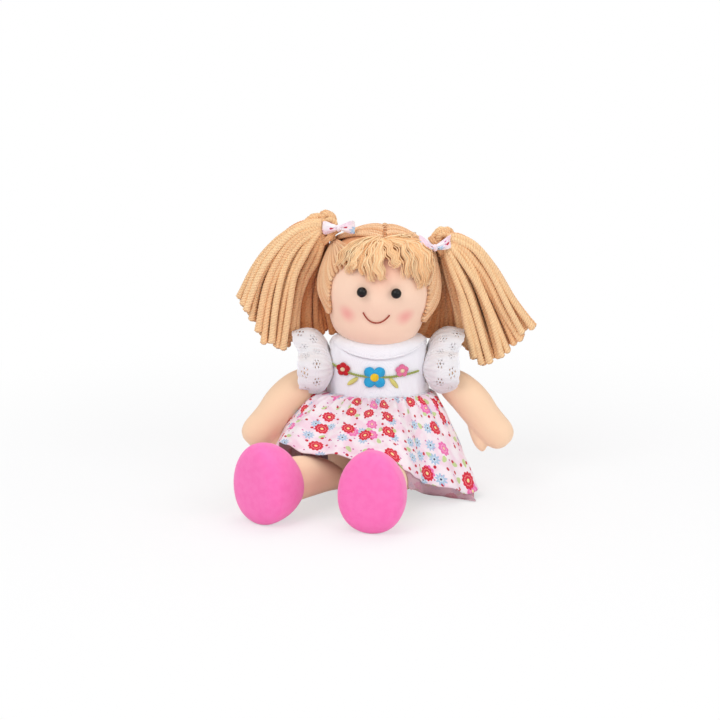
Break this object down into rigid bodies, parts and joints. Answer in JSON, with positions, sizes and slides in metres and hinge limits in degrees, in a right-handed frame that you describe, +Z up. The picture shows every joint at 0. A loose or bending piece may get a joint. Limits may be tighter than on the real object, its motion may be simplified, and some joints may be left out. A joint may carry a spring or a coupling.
{
  "type": "rag doll",
  "caption": "Sitting cloth doll with yarn pigtails, cotton dress, sewn arms and legs that swing at their seams, and a head that turns and nods.",
  "frame": {"origin": "middle of the flat patch under the seat, on the surface that the doll sits on", "axes": "+Z up, the doll faces -Y, its left side is at +X"},
  "size_m": [0.2131, 0.18, 0.2034],
  "materials": {
    "skin_jersey": "knitted jersey, matt",
    "eye_bead": "glossy dark bead",
    "mouth_thread": "thread",
    "cap_yarn": "fine yarn laid side by side",
    "pigtail_yarn": "three-ply yarn",
    "print_cotton": "woven cotton with a small flower print",
    "shoe_cloth": "brushed cloth",
    "white_cotton": "plain woven cotton",
    "eyelet_cotton": "cotton with eyelet embroidery",
    "hook_tape": "hook and loop tape",
    "stem_thread": "embroidery thread",
    "red_thread": "embroidery thread",
    "blue_thread": "embroidery thread",
    "pink_thread": "embroidery thread",
    "pale_thread": "embroidery thread",
    "yellow_thread": "embroidery thread",
    "leaf_thread": "embroidery thread"
  },
  "bodies": {
    "torso": {"torso": "skin_jersey", "bodice_front": "white_cotton", "bodice_back_left": "white_cotton", "bodice_back_right": "white_cotton", "neck_binding": "white_cotton", "waist_seam": "print_cotton", "skirt": "print_cotton", "left_sleeve_frill": "eyelet_cotton", "right_sleeve_frill": "eyelet_cotton", "upper_back_tab": "hook_tape", "lower_back_tab": "hook_tape", "stem": "stem_thread", "red_flower": "red_thread", "blue_flower": "blue_thread", "pink_flower": "pink_thread", "red_flower_centre": "pale_thread", "blue_flower_centre": "yellow_thread", "pink_flower_centre": "pale_thread", "left_leaf": "leaf_thread", "right_leaf": "leaf_thread"},
    "neck": {"neck": "skin_jersey"},
    "head": {"head": "skin_jersey", "left_eye": "eye_bead", "right_eye": "eye_bead", "mouth_stitch": "mouth_thread", "hair_cap": "cap_yarn", "fringe": "pigtail_yarn", "parting_seam": "cap_yarn", "left_hair_tie": "pigtail_yarn", "right_hair_tie": "pigtail_yarn", "left_hair_tuft": "pigtail_yarn", "right_hair_tuft": "pigtail_yarn", "left_bow": "print_cotton", "right_bow": "print_cotton"},
    "left_pigtail": {"left_pigtail": "pigtail_yarn"},
    "left_shoulder_seam": {"left_shoulder_seam": "skin_jersey"},
    "left_arm": {"left_arm": "skin_jersey"},
    "left_hip_seam": {"left_hip_seam": "skin_jersey"},
    "left_leg": {"left_leg": "skin_jersey", "left_shoe_upper": "shoe_cloth", "left_shoe_sole": "shoe_cloth"},
    "right_pigtail": {"right_pigtail": "pigtail_yarn"},
    "right_shoulder_seam": {"right_shoulder_seam": "skin_jersey"},
    "right_arm": {"right_arm": "skin_jersey"},
    "right_hip_seam": {"right_hip_seam": "skin_jersey"},
    "right_leg": {"right_leg": "skin_jersey", "right_shoe_upper": "shoe_cloth", "right_shoe_sole": "shoe_cloth"}
  },
  "joints": [
    {"name": "neck_turn", "type": "hinge", "parent": "torso", "child": "neck", "pos_m": [0.0005, -0.001, 0.1085], "axis": [0, 0, 1], "range_deg": [-25, 25]},
    {"name": "head_nod", "type": "hinge", "parent": "neck", "child": "head", "pos_m": [0.0005, -0.001, 0.1085], "axis": [1, 0, 0], "range_deg": [-12, 12]},
    {"name": "left_pigtail_swing", "type": "hinge", "parent": "head", "child": "left_pigtail", "pos_m": [0.0487, -0.001, 0.18088], "axis": [0, -1, 0], "range_deg": [0, 20]},
    {"name": "right_pigtail_swing", "type": "hinge", "parent": "head", "child": "right_pigtail", "pos_m": [-0.04025, -0.001, 0.18944], "axis": [0, 1, 0], "range_deg": [0, 20]},
    {"name": "left_shoulder_swing", "type": "hinge", "parent": "torso", "child": "left_shoulder_seam", "pos_m": [0.03984, 0, 0.0885], "axis": [-1, 0, 0], "range_deg": [-35, 75], "deforming": ["left_sleeve_frill"]},
    {"name": "left_arm_raise", "type": "hinge", "parent": "left_shoulder_seam", "child": "left_arm", "pos_m": [0.03984, 0, 0.0885], "axis": [0, -1, 0], "range_deg": [-18, 18]},
    {"name": "right_shoulder_swing", "type": "hinge", "parent": "torso", "child": "right_shoulder_seam", "pos_m": [-0.03984, 0, 0.0885], "axis": [-1, 0, 0], "range_deg": [-35, 75], "deforming": ["right_sleeve_frill"]},
    {"name": "right_arm_raise", "type": "hinge", "parent": "right_shoulder_seam", "child": "right_arm", "pos_m": [-0.03984, 0, 0.0885], "axis": [0, 1, 0], "range_deg": [-18, 18]},
    {"name": "left_hip_flex", "type": "hinge", "parent": "torso", "child": "left_hip_seam", "pos_m": [0.01902, -0.0253, 0.00867], "axis": [-1, 0, 0], "range_deg": [-80, 20], "deforming": ["skirt"]},
    {"name": "left_leg_spread", "type": "hinge", "parent": "left_hip_seam", "child": "left_leg", "pos_m": [0.01902, -0.0253, 0.00867], "axis": [0, 0, 1], "range_deg": [-4, 40]},
    {"name": "right_hip_flex", "type": "hinge", "parent": "torso", "child": "right_hip_seam", "pos_m": [-0.01902, -0.0253, 0.00867], "axis": [-1, 0, 0], "range_deg": [-80, 20]},
    {"name": "right_leg_spread", "type": "hinge", "parent": "right_hip_seam", "child": "right_leg", "pos_m": [-0.01902, -0.0253, 0.00867], "axis": [0, 0, -1], "range_deg": [-12, 15]}
  ]
}
